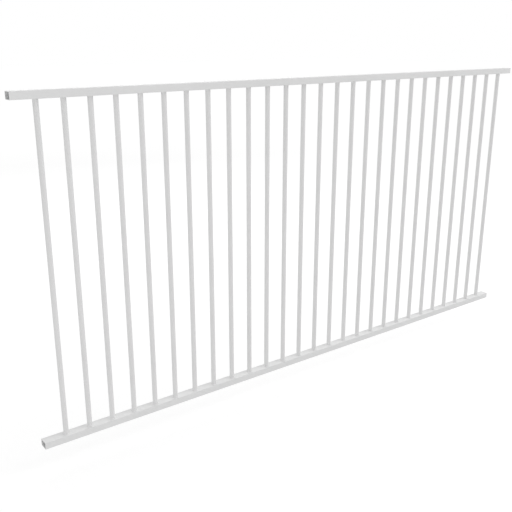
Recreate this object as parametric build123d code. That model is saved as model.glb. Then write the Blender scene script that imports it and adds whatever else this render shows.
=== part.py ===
from build123d import *
import os

# Flat-top pool fence panel: two hollow rails joined by a row of round pickets. All sizes are in millimetres.
# +X runs along the panel, -Y is the side seen first and +Z is up. The origin is in the middle of the left
# end face of the bottom rail, where a post bracket receives the panel.

# Whole panel
panel_length = 2450.0
panel_height = 1200.0

# Rails: an extruded rectangular tube, lying on its wide side
rail_depth = 38.0
rail_height = 25.0
rail_wall = 1.5
rail_outer_radius = 1.5
rail_inner_radius = 0.5

# Pickets: round, all alike
picket_count = 27
picket_diameter = 18.0

# Distance from each end of the rails to the axis of the nearest picket
left_inset = 83.0
right_inset = 72.0

# Play of a picket in the hole punched for it, all round
hole_clearance = 0.2

# Worked out from the sizes above
picket_pitch = (panel_length - left_inset - right_inset) / (picket_count - 1)
picket_x = [left_inset + number * picket_pitch for number in range(picket_count)]
top_rail_z = panel_height - rail_height
picket_foot_z = rail_wall - rail_height / 2
picket_top_z = top_rail_z + rail_height / 2 - rail_wall

# Keeps the foot of an upright cylinder at the height it is placed at
standing = (Align.CENTER, Align.CENTER, Align.MIN)


def rail_profile():
    """Cross-section of the rail tube: a rounded rectangle with its hollow taken out."""
    outside = RectangleRounded(rail_depth, rail_height, rail_outer_radius)
    hollow = RectangleRounded(rail_depth - 2 * rail_wall, rail_height - 2 * rail_wall, rail_inner_radius)
    return outside - hollow


def make_rail():
    """A tube with open ends along X, its middle at height 0, punched in its upper wall for the pickets."""
    tube = extrude(Plane.YZ * rail_profile(), amount=panel_length)
    punch = Cylinder(picket_diameter / 2 + hole_clearance, rail_height, align=standing)
    return tube - [Location((x, 0, 0)) * punch for x in picket_x]


def make_picket(x):
    """A picket that stands on the bottom rail's lower wall and ends under the top rail's upper wall.

    The real one is a tube. Both of its ends are shut inside the rails, so it is drawn solid.
    """
    picket = Cylinder(picket_diameter / 2, picket_top_z - picket_foot_z, align=standing)
    return Location((x, 0, picket_foot_z)) * picket


# Both rails are the same piece. The top one is turned over, so that its holes face the bottom one's.
rail = make_rail()
nodes = {
    "bottom_rail": rail,
    "top_rail": Location((0, 0, top_rail_z), (180, 0, 0)) * rail,
}
for number, x in enumerate(picket_x, start=1):
    nodes[f"picket_{number:02d}"] = make_picket(x)

os.makedirs("parts", exist_ok=True)
for name, solid in nodes.items():
    export_step(solid, f"parts/{name}.step")
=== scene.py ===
"""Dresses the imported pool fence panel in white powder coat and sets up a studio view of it.

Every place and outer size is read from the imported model's nodes. Each rail and picket is built again on its
own node's box, with the walls, broken edges and coat that the finished panel has, and stands for that node.
All lengths are in metres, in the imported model's frame: +X along the panel, -Y towards the camera, +Z up.
"""

import logging
import math
from abc import ABC, abstractmethod
from collections.abc import Mapping
from dataclasses import dataclass, field
from enum import Enum
from typing import ClassVar

import bpy
from mathutils import Euler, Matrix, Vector

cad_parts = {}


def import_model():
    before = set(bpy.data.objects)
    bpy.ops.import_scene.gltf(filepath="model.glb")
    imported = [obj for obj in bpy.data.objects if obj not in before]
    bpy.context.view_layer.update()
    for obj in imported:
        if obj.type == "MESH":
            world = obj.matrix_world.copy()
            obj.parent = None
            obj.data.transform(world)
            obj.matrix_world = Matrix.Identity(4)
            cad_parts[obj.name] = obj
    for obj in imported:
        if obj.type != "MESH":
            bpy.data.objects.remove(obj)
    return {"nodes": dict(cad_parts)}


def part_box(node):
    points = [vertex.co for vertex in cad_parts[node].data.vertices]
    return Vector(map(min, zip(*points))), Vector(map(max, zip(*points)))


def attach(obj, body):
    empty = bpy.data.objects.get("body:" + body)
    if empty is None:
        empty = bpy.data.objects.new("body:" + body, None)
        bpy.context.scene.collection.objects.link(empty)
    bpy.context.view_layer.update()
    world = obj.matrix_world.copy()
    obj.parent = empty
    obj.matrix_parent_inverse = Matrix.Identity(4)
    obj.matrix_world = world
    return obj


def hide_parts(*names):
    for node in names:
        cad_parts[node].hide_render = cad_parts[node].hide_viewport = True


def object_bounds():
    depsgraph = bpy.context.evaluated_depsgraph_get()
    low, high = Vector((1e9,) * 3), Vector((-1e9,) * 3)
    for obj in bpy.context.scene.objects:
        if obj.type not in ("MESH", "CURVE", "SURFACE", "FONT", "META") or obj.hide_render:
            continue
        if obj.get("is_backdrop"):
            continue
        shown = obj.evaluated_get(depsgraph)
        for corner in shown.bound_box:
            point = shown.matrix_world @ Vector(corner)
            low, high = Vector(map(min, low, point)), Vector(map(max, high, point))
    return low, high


MM = 0.001
BODY = "root"
WHITE = (1.0, 1.0, 1.0, 1.0)

Socket = bpy.types.NodeSocket

log = logging.getLogger("panel")


class Slot(Enum):
    """Names of the material slots for the rails and the pickets."""

    RAIL = "coated_rail"
    PICKET = "coated_picket"


class Side(Enum):
    """The wall of a rail that is punched for the pickets, as a direction along Z."""

    UPPER = 1
    LOWER = -1


class Nodes:
    """Adds nodes to a node tree and joins their sockets."""

    def __init__(self, tree: bpy.types.NodeTree) -> None:
        """Keep the tree that the nodes go into."""
        self.tree = tree

    def feed(self, node: bpy.types.Node, inputs: Mapping[str | int, object]) -> None:
        """Fill a node's inputs.

        Args:
            node: the node.
            inputs: for each input, by name or number, the socket that feeds it or its constant value.
        """
        for key, value in inputs.items():
            if isinstance(value, Socket):
                self.tree.links.new(value, node.inputs[key])
            else:
                node.inputs[key].default_value = value

    def add(
        self,
        kind: str,
        inputs: Mapping[str | int, object] | None = None,
        output: str | int = 0,
        **settings: object,
    ) -> Socket:
        """Add one node.

        Args:
            kind: the node's type, such as ShaderNodeMath.
            inputs: what its inputs get, as for feed.
            output: the output to return, by name or number.
            settings: the node's own properties.

        Returns:
            The chosen output socket.
        """
        node = self.tree.nodes.new(kind)
        for name, value in settings.items():
            setattr(node, name, value)
        self.feed(node, inputs or {})
        return node.outputs[output]

    def math(self, operation: str, *values: object) -> Socket:
        """Add a Math node that works on the given sockets or numbers."""
        return self.add("ShaderNodeMath", dict(enumerate(values)), operation=operation)

    def vector(self, x: object = 0.0, y: object = 0.0, z: object = 0.0) -> Socket:
        """Join three sockets or numbers into a vector."""
        return self.add("ShaderNodeCombineXYZ", {"X": x, "Y": y, "Z": z})

    def spread(
        self,
        value: Socket,
        source: tuple[float, float],
        result: tuple[float, float],
        way: str = "LINEAR",
    ) -> Socket:
        """Map one range of values onto another and clamp what lies outside it.

        Args:
            value: what is mapped.
            source: the range's two ends.
            result: what its ends turn into.
            way: how the values run between the ends, such as SMOOTHSTEP.

        Returns:
            The mapped value.
        """
        ends = {
            "Value": value,
            "From Min": source[0],
            "From Max": source[1],
            "To Min": result[0],
            "To Max": result[1],
        }
        return self.add("ShaderNodeMapRange", ends, interpolation_type=way)

    def past(self, value: Socket, middle: float, reach: float) -> Socket:
        """How far a value lies past a reach on either side of a middle, below 0 within it."""
        away = self.math("ABSOLUTE", self.math("SUBTRACT", value, middle))
        return self.math("SUBTRACT", away, reach)

    def blend(self, share: Socket, first: object, second: object) -> Socket:
        """The first number where the share is 0, the second where it is 1."""
        return self.add("ShaderNodeMix", {"Factor": share, "A": first, "B": second}, output="Result")

    def vector_blend(self, share: Socket, first: object, second: object) -> Socket:
        """The first vector where the share is 0, the second where it is 1."""
        way = self.add("ShaderNodeVectorMath", {0: second, 1: first}, operation="SUBTRACT")
        return self.add("ShaderNodeVectorMath", {0: way, 1: share, 2: first}, operation="MULTIPLY_ADD")


class Shape(Nodes):
    """A Geometry Nodes tree with named inputs, which makes plain meshes."""

    SOCKETS: ClassVar[dict[type, str]] = {
        float: "NodeSocketFloat",
        int: "NodeSocketInt",
        bpy.types.Material: "NodeSocketMaterial",
    }

    def __init__(self, name: str, sizes: Mapping[str, type]) -> None:
        """Start a tree.

        Args:
            name: the tree's name.
            sizes: the name and type of each input, in order.
        """
        super().__init__(bpy.data.node_groups.new(name, "GeometryNodeTree"))
        self.identifiers: dict[str, str] = {}
        for label, kind in sizes.items():
            socket = self.tree.interface.new_socket(label, in_out="INPUT", socket_type=self.SOCKETS[kind])
            self.identifiers[label] = socket.identifier
        self.tree.interface.new_socket("Geometry", in_out="OUTPUT", socket_type="NodeSocketGeometry")
        self.entry = self.tree.nodes.new("NodeGroupInput")

    def __getitem__(self, label: str) -> Socket:
        """The socket that brings in the input of that name."""
        return self.entry.outputs[label]

    def join(self, first: Socket, second: Socket) -> Socket:
        """Put two geometries together.

        Args:
            first: one of them.
            second: the other.

        Returns:
            Both as one geometry.
        """
        both = self.add("GeometryNodeJoinGeometry", {0: first})
        self.feed(both.node, {0: second})
        return both

    def row(self, first: Socket, height: Socket) -> Socket:
        """Make a row of points along X, as many as the input Count says and the input Pitch apart.

        Args:
            first: place of the first point along X.
            height: height of them all.

        Returns:
            The points.
        """
        places = {
            "Count": self["Count"],
            "Start Location": self.vector(first, 0.0, height),
            "Offset": self.vector(self["Pitch"]),
        }
        return self.add("GeometryNodeMeshLine", places)

    def end(self, geometry: Socket) -> None:
        """Realize the instances in the result, give it the input material and send it out.

        Args:
            geometry: the tree's result.
        """
        real = self.add("GeometryNodeRealizeInstances", {"Geometry": geometry})
        coated = self.add("GeometryNodeSetMaterial", {"Geometry": real, "Material": self["Material"]})
        self.feed(self.tree.nodes.new("NodeGroupOutput"), {"Geometry": coated})

    def make(self, name: str, values: Mapping[str, object]) -> bpy.types.Object:
        """Run the tree once.

        Args:
            name: the new object's name.
            values: a value for every named input.

        Returns:
            An object with the result as its own mesh and no modifier left.
        """
        piece = bpy.data.objects.new(name, bpy.data.meshes.new(name))
        bpy.context.scene.collection.objects.link(piece)
        modifier = piece.modifiers.new(self.tree.name, "NODES")
        modifier.node_group = self.tree
        for label, value in values.items():
            modifier[self.identifiers[label]] = value
        bake(piece)
        return piece


def bake(piece: bpy.types.Object) -> None:
    """Make the result of a piece's modifiers its own mesh and take the modifiers off.

    Args:
        piece: the object with the modifiers.
    """
    evaluated = piece.evaluated_get(bpy.context.evaluated_depsgraph_get())
    mesh = bpy.data.meshes.new_from_object(evaluated)
    mesh.name = piece.name
    piece.modifiers.clear()
    piece.data = mesh


@dataclass(frozen=True, kw_only=True)
class PowderCoat(ABC):
    """White powder coat: a satin skin with a fine orange peel and a faint unevenness of tone, on bare metal.

    Attributes:
        name: the material's name.
        colour: the coat's own colour, linear.
        patch_size: size of the broad patches that are a little duller.
        patch_detail: how many finer layers of noise shape those patches.
        patch_range: the stretch of that noise over which the tone changes.
        patch_tone: the colour's share left in the dullest of them.
        roughness: the coat's mean roughness.
        unevenness: how far the roughness strays from its mean.
        cloud_size: size of the patches of one roughness.
        cloud_range: the stretch of their noise over which the roughness changes.
        gloss: how strongly the coat mirrors, where 0.5 is usual for plastics.
        peel_size: distance between the bumps of the orange peel.
        peel_height: height of those bumps.
        metal: colour of the bare metal, linear, dulled by the etching that comes before the coat. Inside the
            rails' tubes it is also painted shade.
        metal_roughness: its roughness.
    """

    name: str
    colour: tuple[float, float, float] = (0.8, 0.8, 0.8)
    patch_size: float = 160 * MM
    patch_detail: float = 3.0
    patch_range: tuple[float, float] = (0.35, 0.65)
    patch_tone: float = 0.975
    roughness: float = 0.6
    unevenness: float = 0.04
    cloud_size: float = 35 * MM
    cloud_range: tuple[float, float] = (0.3, 0.7)
    gloss: float = 0.25
    peel_size: float = 2.2 * MM
    peel_height: float = 0.012 * MM
    metal: tuple[float, float, float] = (0.50, 0.51, 0.52)
    metal_roughness: float = 0.5

    @abstractmethod
    def bare(self, nodes: Nodes, place: Socket) -> Socket:
        """Find where the metal is bare.

        Args:
            nodes: the material's nodes.
            place: the place on the piece.

        Returns:
            The share of bare metal: 0 where the coat is whole and 1 where there is none.
        """

    def material(self) -> bpy.types.Material:
        """Build the material's nodes.

        Returns:
            The new material.
        """
        material = bpy.data.materials.new(self.name)
        material.use_nodes = True
        nodes = Nodes(material.node_tree)
        place = nodes.add("ShaderNodeTexCoord", output="Object")
        # Share of bare metal; inside the rails' tubes it also paints the hollow's shade
        share = self.bare(nodes, place)
        finish = {
            "Base Color": nodes.vector_blend(share, self.tone(nodes, place), self.metal),
            "Roughness": nodes.blend(share, self.sheen(nodes, place), self.metal_roughness),
            "Normal": self.peel(nodes, place),
            "Specular IOR Level": self.gloss,
        }
        nodes.feed(material.node_tree.nodes["Principled BSDF"], finish)
        return material

    @staticmethod
    def noise(nodes: Nodes, place: Socket, size: float, detail: float = 2.0) -> Socket:
        """A noise pattern whose features are about size across, with that much finer detail in it."""
        return nodes.add("ShaderNodeTexNoise", {"Vector": place, "Scale": 1 / size, "Detail": detail})

    def tone(self, nodes: Nodes, place: Socket) -> Socket:
        """Make the coat's colour, with broad patches a little duller than the rest.

        Args:
            nodes: the material's nodes.
            place: the place on the piece.

        Returns:
            The colour.
        """
        patches = self.noise(nodes, place, self.patch_size, self.patch_detail)
        shade = nodes.spread(patches, self.patch_range, (self.patch_tone, 1.0))
        return nodes.add("ShaderNodeVectorMath", {0: self.colour, "Scale": shade}, operation="SCALE")

    def sheen(self, nodes: Nodes, place: Socket) -> Socket:
        """Make the coat's roughness, slightly uneven.

        Args:
            nodes: the material's nodes.
            place: the place on the piece.

        Returns:
            The roughness.
        """
        clouds = self.noise(nodes, place, self.cloud_size)
        ends = (self.roughness - self.unevenness, self.roughness + self.unevenness)
        return nodes.spread(clouds, self.cloud_range, ends)

    def peel(self, nodes: Nodes, place: Socket) -> Socket:
        """The normal of the orange peel's soft bumps."""
        bumps = self.noise(nodes, place, self.peel_size)
        return nodes.add("ShaderNodeBump", {"Height": bumps, "Distance": self.peel_height})


@dataclass(frozen=True, kw_only=True)
class RailCoat(PowderCoat):
    """The coat of a hollow rail, which thins out inside the tube, where powder comes in only at the ends. The
    darker bare metal deeper inside is partly painted shade of the hollow.

    Attributes:
        low: the rail's lowest corner.
        high: its highest corner.
        wall: the tube's wall thickness.
        unshaded_depth: depth inside from an open end to which the coat is whole and no shade is painted.
        bare_shaded_depth: depth from which the metal is bare and the hollow's painted shade is darkest.
    """

    low: Vector
    high: Vector
    wall: float
    unshaded_depth: float = 4.0 * MM
    bare_shaded_depth: float = 20.0 * MM

    def bare(self, nodes: Nodes, place: Socket) -> Socket:
        """Find where the metal is bare, which also paints the hollow's shade: nowhere outside, and more and
        more inwards from both open ends.

        Args:
            nodes: the material's nodes.
            place: the place on the rail.

        Returns:
            The share of bare metal, which inside the tube is also the share of painted shade.
        """
        middle = (self.low + self.high) / 2
        half = (self.high - self.low) / 2
        along, across, upright = nodes.add("ShaderNodeSeparateXYZ", {"Vector": place}).node.outputs
        past_hollow = nodes.math(
            "MAXIMUM",
            nodes.past(across, middle.y, half.y - self.wall),
            nodes.past(upright, middle.z, half.z - self.wall),
        )
        inside = nodes.math("LESS_THAN", past_hollow, self.wall / 2)
        depth = nodes.math(
            "MINIMUM",
            nodes.math("SUBTRACT", along, self.low.x),
            nodes.math("SUBTRACT", self.high.x, along),
        )
        # Bare metal and painted shade: the tube's inside darkens more and more from a little way in from each
        # end
        bare_and_shade = nodes.spread(depth, (self.unshaded_depth, self.bare_shaded_depth), (0.0, 1.0), "SMOOTHSTEP")
        return nodes.math("MULTIPLY", inside, bare_and_shade)


@dataclass(frozen=True, kw_only=True)
class PicketCoat(PowderCoat):
    """The coat of a picket, which ends where the picket enters the rails.

    Attributes:
        foot: height at which the coat starts, in the bottom rail's punched wall.
        head: height at which it ends, in the top rail's punched wall.
    """

    foot: float
    head: float

    def bare(self, nodes: Nodes, place: Socket) -> Socket:
        """Find where the metal is bare: inside the rails and nowhere between them.

        Args:
            nodes: the material's nodes.
            place: the place on the picket.

        Returns:
            The share of bare metal.
        """
        height = nodes.add("ShaderNodeSeparateXYZ", {"Vector": place}, output="Z")
        below = nodes.math("LESS_THAN", height, self.foot)
        above = nodes.math("GREATER_THAN", height, self.head)
        return nodes.math("MAXIMUM", below, above)


@dataclass
class Rail:
    """A hollow rail, punched for the pickets in one wall, with its cut and punched edges broken.

    Attributes:
        node: the CAD node that the rail stands for.
        punched: the wall with the holes.
        wall: the tube's wall thickness.
        outer_radius: radius of the tube's outside corners.
        inner_radius: radius of its inside corners.
        edge_radius: radius of the cut edges under the coat.
    """

    node: str
    punched: Side
    wall: float = 1.5 * MM
    outer_radius: float = 1.5 * MM
    inner_radius: float = 0.5 * MM
    edge_radius: float = 0.3 * MM

    # Straight steps that draw an outside corner, an inside corner and a hole
    OUTER_STEPS: ClassVar[int] = 6
    INNER_STEPS: ClassVar[int] = 3
    HOLE_STEPS: ClassVar[int] = 48

    # Distance under which two points of the tube's seam are one
    SEAM: ClassVar[float] = 0.001 * MM

    # Turns a section that is drawn flat and extruded upwards, so that it runs along X
    ALONG_X: ClassVar[Euler] = Euler((math.pi / 2, 0.0, math.pi / 2))

    # The tree's inputs. Punched Face is the height of the punched wall's outside above the rail's middle.
    SIZES: ClassVar[dict[str, type]] = {
        "Length": float,
        "Depth": float,
        "Height": float,
        "Wall": float,
        "Outer Radius": float,
        "Inner Radius": float,
        "Middle": float,
        "Hole Radius": float,
        "Punched Face": float,
        "First Hole": float,
        "Pitch": float,
        "Count": int,
        "Material": bpy.types.Material,
    }

    @classmethod
    def shape(cls) -> Shape:
        """Build the tree that makes a rail: its section extruded, laid down and punched.

        Returns:
            The tree.
        """
        tree = Shape("punched_rail", cls.SIZES)
        twice_wall = tree.math("MULTIPLY", tree["Wall"], 2.0)
        hollow_depth = tree.math("SUBTRACT", tree["Depth"], twice_wall)
        hollow_height = tree.math("SUBTRACT", tree["Height"], twice_wall)
        outside = cls.rounded(tree, tree["Depth"], tree["Height"], tree["Outer Radius"], cls.OUTER_STEPS)
        hollow = cls.rounded(tree, hollow_depth, hollow_height, tree["Inner Radius"], cls.INNER_STEPS)
        section = tree.add("GeometryNodeFillCurve", {"Curve": tree.join(outside, hollow)}, mode="NGONS")
        grown = tree.add(
            "GeometryNodeExtrudeMesh",
            {"Mesh": section, "Offset Scale": tree["Length"], "Individual": False},
        )
        start = tree.add("GeometryNodeFlipFaces", {"Mesh": section})
        closed = tree.join(grown, start)
        tube = tree.add("GeometryNodeMergeByDistance", {"Geometry": closed, "Distance": cls.SEAM})
        laid = tree.add(
            "GeometryNodeTransform",
            {"Geometry": tube, "Translation": tree.vector(z=tree["Middle"]), "Rotation": cls.ALONG_X},
        )
        cut = {"Mesh 1": laid, "Mesh 2": cls.punches(tree)}
        tree.end(tree.add("GeometryNodeMeshBoolean", cut, solver="EXACT"))
        return tree

    @staticmethod
    def rounded(tree: Shape, width: Socket, height: Socket, radius: Socket, steps: int) -> Socket:
        """Draw a rectangle with round corners.

        Args:
            tree: the rail's tree.
            width: the rectangle's width.
            height: its height.
            radius: radius of its corners.
            steps: straight steps in each corner.

        Returns:
            The outline.
        """
        outline = tree.add("GeometryNodeCurvePrimitiveQuadrilateral", {"Width": width, "Height": height})
        corners = {"Curve": outline, "Radius": radius, "Count": steps}
        return tree.add("GeometryNodeFilletCurve", corners, mode="POLY")

    @classmethod
    def punches(cls, tree: Shape) -> Socket:
        """Make one upright cutter for each hole, half in the rail's hollow and half outside.

        Args:
            tree: the rail's tree.

        Returns:
            The cutters.
        """
        cutter = tree.add(
            "GeometryNodeMeshCylinder",
            {"Vertices": cls.HOLE_STEPS, "Radius": tree["Hole Radius"], "Depth": tree["Height"]},
        )
        row = tree.row(tree["First Hole"], tree.math("ADD", tree["Middle"], tree["Punched Face"]))
        placed = tree.add("GeometryNodeInstanceOnPoints", {"Points": row, "Instance": cutter})
        return tree.add("GeometryNodeRealizeInstances", {"Geometry": placed})

    def coat(self) -> RailCoat:
        """The finish of this rail."""
        low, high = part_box(self.node)
        return RailCoat(name=f"{self.node}_coat", low=low, high=high, wall=self.wall)

    def build(self, shape: Shape, row: "PicketRow", coat: bpy.types.Material) -> bpy.types.Object:
        """Make the rail on its CAD node's box.

        Args:
            shape: the tree from Rail.shape().
            row: the pickets that the holes are for.
            coat: the rail's material.

        Returns:
            The finished piece.
        """
        low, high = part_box(self.node)
        height = high.z - low.z
        piece = shape.make(
            f"coated_{self.node}",
            {
                "Length": high.x - low.x,
                "Depth": high.y - low.y,
                "Height": height,
                "Wall": self.wall,
                "Outer Radius": self.outer_radius,
                "Inner Radius": self.inner_radius,
                "Middle": (low.z + high.z) / 2,
                "Hole Radius": row.diameter / 2 + row.play,
                "Punched Face": self.punched.value * height / 2,
                "First Hole": row.first,
                "Pitch": row.pitch,
                "Count": row.count,
                "Material": coat,
            },
        )
        soften(piece, self.edge_radius)
        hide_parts(self.node)
        return piece


def soften(piece: bpy.types.Object, radius: float, steps: int = 3, sharp: float = 40.0) -> None:
    """Round a piece's sharp edges and shade it so that its flat faces stay flat.

    Args:
        piece: the object.
        radius: how far each edge is rounded.
        steps: faces across a rounded edge.
        sharp: turn between two faces, in degrees, past which the edge between them is rounded.
    """
    bevel = piece.modifiers.new("edges", "BEVEL")
    bevel.width = radius
    bevel.segments = steps
    bevel.limit_method = "ANGLE"
    bevel.angle_limit = math.radians(sharp)
    for face in piece.data.polygons:
        face.use_smooth = True
    weigh = piece.modifiers.new("shading", "WEIGHTED_NORMAL")
    weigh.keep_sharp = True
    bake(piece)


@dataclass
class PicketRow:
    """The pickets between the rails: round tubes, each on its own CAD node's box.

    Attributes:
        nodes: the CAD nodes of the pickets, from left to right.
        wall: the tube's wall thickness.
        play: the gap round a picket in its hole, bridged by the coat.
        bead: width of the coat's small fillet where a picket meets a rail.
        count: number of pickets.
        diameter: their diameter, read from the nodes.
        first: place of the first one along X.
        pitch: distance from one axis to the next.
    """

    nodes: list[str]
    wall: float = 1.2 * MM
    play: float = 0.2 * MM
    bead: float = 0.9 * MM
    count: int = field(init=False)
    diameter: float = field(init=False)
    first: float = field(init=False)
    pitch: float = field(init=False)

    # Straight steps that draw a picket's circle
    ROUND_STEPS: ClassVar[int] = 64

    # A bead's section has four points, numbered from 0. This one is the corner of its hollow face.
    CORNER: ClassVar[int] = 2

    # How far that corner stands out and the radius that rounds it, as shares of the bead's width
    CORNER_SHARE: ClassVar[float] = 0.3
    RADIUS_SHARE: ClassVar[float] = 1.5

    # Straight steps that draw the rounded corner
    CORNER_STEPS: ClassVar[int] = 4

    # The picket tree's inputs
    PICKET_SIZES: ClassVar[dict[str, type]] = {
        "Diameter": float,
        "Wall": float,
        "Length": float,
        "Across": float,
        "Middle": float,
        "Material": bpy.types.Material,
    }

    # The bead tree's inputs. Face is the height of the rail's punched face.
    BEAD_SIZES: ClassVar[dict[str, type]] = {
        "Diameter": float,
        "Bead": float,
        "First": float,
        "Pitch": float,
        "Count": int,
        "Face": float,
        "Turn": float,
        "Material": bpy.types.Material,
    }

    def __post_init__(self) -> None:
        """Read the row's diameter, first place and pitch from the CAD nodes."""
        boxes = [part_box(node) for node in self.nodes]
        places = [(low.x + high.x) / 2 for low, high in boxes]
        self.count = len(self.nodes)
        self.diameter = boxes[0][1].x - boxes[0][0].x
        self.first = places[0]
        self.pitch = (places[-1] - places[0]) / (self.count - 1)

    @classmethod
    def circle(cls, tree: Shape, diameter: Socket) -> Socket:
        """The circle that a section is swept round."""
        sizes = {"Resolution": cls.ROUND_STEPS, "Radius": tree.math("MULTIPLY", diameter, 0.5)}
        return tree.add("GeometryNodeCurvePrimitiveCircle", sizes)

    @classmethod
    def picket_shape(cls) -> Shape:
        """Build the tree that makes a tube: its wall's section swept round a circle.

        Returns:
            The tree.
        """
        tree = Shape("picket_tube", cls.PICKET_SIZES)
        middle_line = cls.circle(tree, tree.math("SUBTRACT", tree["Diameter"], tree["Wall"]))
        section = tree.add(
            "GeometryNodeCurvePrimitiveQuadrilateral",
            {"Width": tree["Wall"], "Height": tree["Length"]},
        )
        tube = tree.add("GeometryNodeCurveToMesh", {"Curve": middle_line, "Profile Curve": section})
        place = tree.vector(tree["Across"], 0.0, tree["Middle"])
        tree.end(tree.add("GeometryNodeTransform", {"Geometry": tube, "Translation": place}))
        return tree

    @classmethod
    def bead_shape(cls) -> Shape:
        """Build the tree that makes a row of coat fillets: a hollow-faced section swept round each picket.

        Returns:
            The tree.
        """
        tree = Shape("coat_beads", cls.BEAD_SIZES)
        out = tree.math("MULTIPLY", tree["Bead"], cls.CORNER_SHARE)
        section = tree.add(
            "GeometryNodeCurvePrimitiveQuadrilateral",
            {
                "Point 1": tree.vector(),
                "Point 2": tree.vector(0.0, tree.math("MULTIPLY", tree["Bead"], -1.0)),
                "Point 3": tree.vector(out, tree.math("MULTIPLY", out, -1.0)),
                "Point 4": tree.vector(tree["Bead"]),
            },
            mode="POINTS",
        )
        half_a_step = 0.5
        is_corner = tree.math("COMPARE", tree.add("GeometryNodeInputIndex"), cls.CORNER, half_a_step)
        radius = tree.math("MULTIPLY", tree.math("MULTIPLY", tree["Bead"], cls.RADIUS_SHARE), is_corner)
        corner = {"Curve": section, "Radius": radius, "Count": cls.CORNER_STEPS}
        eased = tree.add("GeometryNodeFilletCurve", corner, mode="POLY")
        around = cls.circle(tree, tree["Diameter"])
        ring = tree.add("GeometryNodeCurveToMesh", {"Curve": around, "Profile Curve": eased})
        row = tree.row(tree["First"], tree["Face"])
        turn = tree.add("FunctionNodeEulerToRotation", {"Euler": tree.vector(tree["Turn"])})
        placed = {"Points": row, "Instance": ring, "Rotation": turn}
        tree.end(tree.add("GeometryNodeInstanceOnPoints", placed))
        return tree

    @staticmethod
    def coat(lower: Rail, upper: Rail) -> PicketCoat:
        """Make the finish of the pickets, which ends in the rails' punched walls.

        Args:
            lower: the rail that they stand in.
            upper: the rail above them.

        Returns:
            The finish.
        """
        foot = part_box(lower.node)[1].z - lower.wall / 2
        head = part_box(upper.node)[0].z + upper.wall / 2
        return PicketCoat(name="picket_coat", foot=foot, head=head)

    def build_pickets(self, shape: Shape, coat: bpy.types.Material) -> list[bpy.types.Object]:
        """Make every picket on its CAD node's box.

        Args:
            shape: the tree from PicketRow.picket_shape().
            coat: the pickets' material.

        Returns:
            The finished pieces, from left to right.
        """
        pieces = []
        for node in self.nodes:
            low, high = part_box(node)
            piece = shape.make(
                f"coated_{node}",
                {
                    "Diameter": self.diameter,
                    "Wall": self.wall,
                    "Length": high.z - low.z,
                    "Across": (low.x + high.x) / 2,
                    "Middle": (low.z + high.z) / 2,
                    "Material": coat,
                },
            )
            smooth_round(piece)
            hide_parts(node)
            pieces.append(piece)
        return pieces

    def build_beads(self, shape: Shape, rail: Rail, coat: bpy.types.Material) -> bpy.types.Object:
        """Make the coat's fillets where the pickets enter one rail.

        Args:
            shape: the tree from PicketRow.bead_shape().
            rail: the rail that the pickets enter.
            coat: the fillets' material.

        Returns:
            The finished piece.
        """
        low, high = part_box(rail.node)
        upwards = rail.punched is Side.UPPER
        piece = shape.make(
            f"{rail.node}_beads",
            {
                "Diameter": self.diameter,
                "Bead": self.bead,
                "First": self.first,
                "Pitch": self.pitch,
                "Count": self.count,
                "Face": high.z if upwards else low.z,
                "Turn": 0.0 if upwards else math.pi,
                "Material": coat,
            },
        )
        smooth_round(piece)
        return piece


def smooth_round(piece: bpy.types.Object, crisp: float = 35.0) -> None:
    """Shade a piece smoothly round its curves and keep its corners crisp.

    Args:
        piece: the object.
        crisp: turn between two faces, in degrees, past which the edge between them stays crisp.
    """
    for face in piece.data.polygons:
        face.use_smooth = True
    piece.data.set_sharp_from_angle(angle=math.radians(crisp))


@dataclass(frozen=True)
class Viewpoint:
    """The camera of the photograph, worked out from the lines of the pickets and rails.

    Attributes:
        place: where it stands.
        turn: how far it is turned from looking along +Y towards +X, in degrees.
        tilt: how far it looks down, in degrees.
        reach: focal length in pixels of the square frame.
        frame: width of that frame in pixels.
    """

    place: tuple[float, float, float] = (-0.6682, -2.1297, 1.3491)
    turn: float = 36.57
    tilt: float = 17.60
    reach: float = 701.7
    frame: float = 512.0

    def build(self) -> None:
        """Make the camera the scene's own."""
        data = bpy.data.cameras.new("camera")
        data.lens = self.reach / self.frame * data.sensor_width
        camera = bpy.data.objects.new("camera", data)
        camera.location = self.place
        camera.rotation_euler = Euler((math.radians(90 - self.tilt), 0.0, math.radians(-self.turn)))
        bpy.context.scene.collection.objects.link(camera)
        bpy.context.scene.camera = camera


@dataclass(frozen=True, kw_only=True)
class Lamp:
    """A large soft lamp.

    Attributes:
        name: the lamp's name.
        place: where it stands.
        size: the side of its square face.
        power: its power in watts.
    """

    name: str
    place: tuple[float, float, float]
    size: float
    power: float

    def build(self, target: Vector) -> None:
        """Hang the lamp in the scene.

        Args:
            target: the point that it faces.
        """
        data = bpy.data.lights.new(self.name, "AREA")
        data.size = self.size
        data.energy = self.power
        lamp = bpy.data.objects.new(self.name, data)
        lamp.visible_camera = False
        lamp.location = self.place
        lamp.rotation_euler = (target - Vector(self.place)).to_track_quat("-Z", "Y").to_euler()
        bpy.context.scene.collection.objects.link(lamp)


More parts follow.
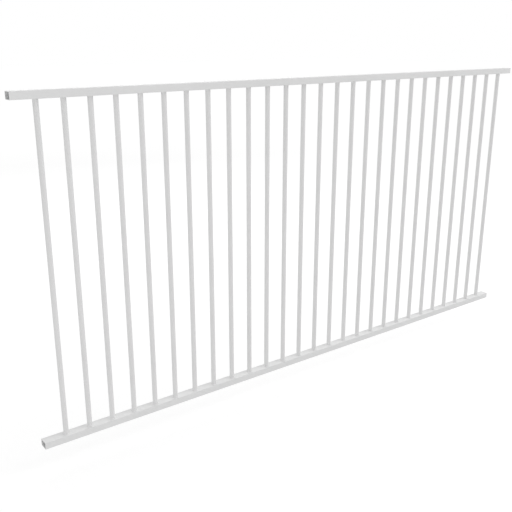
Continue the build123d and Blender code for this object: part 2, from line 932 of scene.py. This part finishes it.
@dataclass(frozen=True, kw_only=True)
class Studio:
    """A white room: an even sky, a pale floor below the panel and soft lamps.

    Attributes:
        key: the main lamp, from the right, in front and above.
        fill: a weak one from the left, in front and low.
        back: one from behind and above.
        sky: strength of the even light from all round.
        floor_drop: how far the floor is below the bottom rail.
        floor_size: side of the square floor.
        floor_colour: the colour with which the floor throws light back at the panel, linear.
        floor_shade: the colour in which it shows its own light and shade.
        near: distance from the panel's middle within which the floor's own glow is near_glow.
        far: distance from which it is far_glow.
        near_glow: share of white that the floor shows by itself near the panel, besides its light and shade.
        far_glow: that share far away, where the floor joins the white background.
    """

    key: Lamp = Lamp(name="key", place=(6.5, -2.4, 5.2), size=4.0, power=134.0)
    fill: Lamp = Lamp(name="fill", place=(-1.5, -2.5, 0.6), size=2.0, power=15.6)
    back: Lamp = Lamp(name="back", place=(2.5, 3.5, 3.0), size=3.0, power=50.3)
    sky: float = 0.675
    floor_drop: float = 0.08
    floor_size: float = 60.0
    floor_colour: tuple[float, float, float, float] = (0.8, 0.8, 0.8, 1.0)
    floor_shade: tuple[float, float, float, float] = (0.4, 0.4, 0.4, 1.0)
    near: float = 4.0
    far: float = 8.0
    near_glow: float = 0.66
    far_glow: float = 0.735

    def build(self, lowest: float, middle: Vector) -> None:
        """Light the scene and lay the floor.

        Args:
            lowest: height of the panel's lowest point.
            middle: the panel's middle, which all lamps face.
        """
        self.light_sky()
        self.lay_floor(lowest - self.floor_drop, middle)
        for lamp in (self.key, self.fill, self.back):
            lamp.build(middle)

    @staticmethod
    def seen_directly(nodes: Nodes) -> Socket:
        """Tell what is seen from what only gives light.

        Args:
            nodes: the nodes of a material or of the world.

        Returns:
            1 for rays from the camera, in a mirror image or through glass, and 0 for light on the panel.
        """
        rays = nodes.add("ShaderNodeLightPath").node.outputs
        mirrored = nodes.math("MAXIMUM", rays["Is Camera Ray"], rays["Is Glossy Ray"])
        return nodes.math("MAXIMUM", mirrored, rays["Is Transmission Ray"])

    def light_sky(self) -> None:
        """Give the world an even light, and plain white where it is seen directly."""
        world = bpy.data.worlds.new("sky")
        world.use_nodes = True
        bpy.context.scene.world = world
        nodes = Nodes(world.node_tree)
        strength = nodes.spread(self.seen_directly(nodes), (0.0, 1.0), (self.sky, 1.0))
        nodes.feed(world.node_tree.nodes["Background"], {"Color": WHITE, "Strength": strength})

    def lay_floor(self, height: float, middle: Vector) -> None:
        """Lay a pale floor that takes the panel's shadow and fades into the white background.

        Args:
            height: the floor's height.
            middle: the panel's middle.
        """
        half = self.floor_size / 2
        mesh = bpy.data.meshes.new("floor")
        corners = ((-half, -half), (half, -half), (half, half), (-half, half))
        mesh.from_pydata([(x, y, height) for x, y in corners], [], [(0, 1, 2, 3)])
        mesh.materials.append(self.floor_material(middle))
        floor = bpy.data.objects.new("floor", mesh)
        bpy.context.scene.collection.objects.link(floor)
        floor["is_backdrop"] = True

    def floor_material(self, middle: Vector) -> bpy.types.Material:
        """Make the floor's material: matt for the light on the panel, and near white where it is seen.

        Args:
            middle: the panel's middle.

        Returns:
            The new material.
        """
        material = bpy.data.materials.new("floor")
        material.use_nodes = True
        tree = material.node_tree
        tree.nodes.remove(tree.nodes["Principled BSDF"])
        nodes = Nodes(tree)
        matt = nodes.add("ShaderNodeBsdfDiffuse", {"Color": self.floor_colour})
        shade = nodes.add("ShaderNodeBsdfDiffuse", {"Color": self.floor_shade})
        place = nodes.add("ShaderNodeTexCoord", output="Object")
        away = nodes.add("ShaderNodeVectorMath", {0: place, 1: middle}, output="Value", operation="DISTANCE")
        share = nodes.spread(away, (self.near, self.far), (self.near_glow, self.far_glow))
        glow = nodes.add("ShaderNodeEmission", {"Strength": share})
        seen = nodes.add("ShaderNodeAddShader", {0: shade, 1: glow})
        shown = nodes.add("ShaderNodeMixShader", {0: self.seen_directly(nodes), 1: matt, 2: seen})
        nodes.feed(tree.nodes["Material Output"], {"Surface": shown})
        return material


def set_view() -> None:
    """Show colours as they are written."""
    bpy.context.scene.view_settings.view_transform = "Standard"


def main() -> None:
    """Build the panel's pieces and the studio, in order."""
    logging.basicConfig(level=logging.INFO, format="%(message)s")
    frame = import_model()
    cad_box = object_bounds()
    set_view()

    row = PicketRow(sorted(node for node in frame["nodes"] if node.startswith("picket_")))
    rails = [Rail("bottom_rail", Side.UPPER), Rail("top_rail", Side.LOWER)]
    rail_shape = Rail.shape()
    bead_shape = PicketRow.bead_shape()

    pieces = row.build_pickets(PicketRow.picket_shape(), row.coat(*rails).material())
    for rail in rails:
        coat = rail.coat().material()
        pieces.append(rail.build(rail_shape, row, coat))
        pieces.append(row.build_beads(bead_shape, rail, coat))
    for piece in pieces:
        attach(piece, BODY)
        log.info("%s: %d faces", piece.name, len(piece.data.polygons))

    low, high = cad_box
    Viewpoint().build()
    Studio().build(low.z, (low + high) / 2)


if __name__ == "__main__":
    main()
